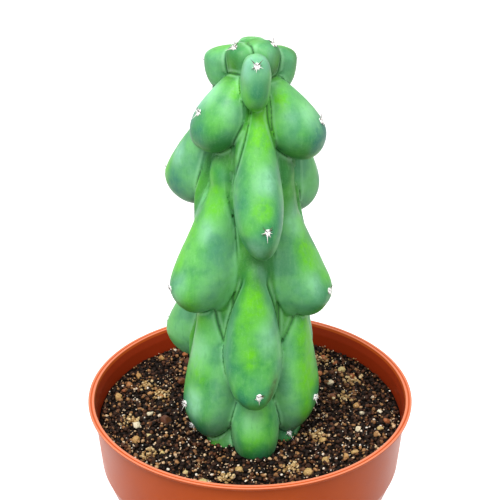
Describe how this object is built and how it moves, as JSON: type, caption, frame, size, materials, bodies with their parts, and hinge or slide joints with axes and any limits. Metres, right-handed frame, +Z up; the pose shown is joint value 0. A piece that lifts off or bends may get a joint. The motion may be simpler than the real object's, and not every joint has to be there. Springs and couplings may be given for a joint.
{
  "type": "boobie cactus in a nursery pot",
  "caption": "Ribbed cactus with smooth hanging tubercles and short woolly-based spines, standing in gritty potting mix in a round tapered plastic nursery pot.",
  "frame": {"origin": "middle of the underside of the pot, on the surface it stands on", "axes": "+Z up along the pot's axis and the plant, -Y towards the side of the plant that the picture shows"},
  "size_m": [0.152, 0.152, 0.3031],
  "materials": {
    "pot_plastic": "terracotta-coloured moulded plastic with a fine satin grain",
    "potting_mix": "loose dark crumbs with tan, cream and brown grit",
    "cactus_skin": "smooth waxy skin with a pale bloom, lime patches and blue-green tips",
    "areole_wool": "short white wool",
    "spine": "pale thin spines, a few of them dark"
  },
  "bodies": {
    "root": {"pot": "pot_plastic", "potting_mix": "potting_mix", "cactus": "cactus_skin"}
  },
  "joints": []
}
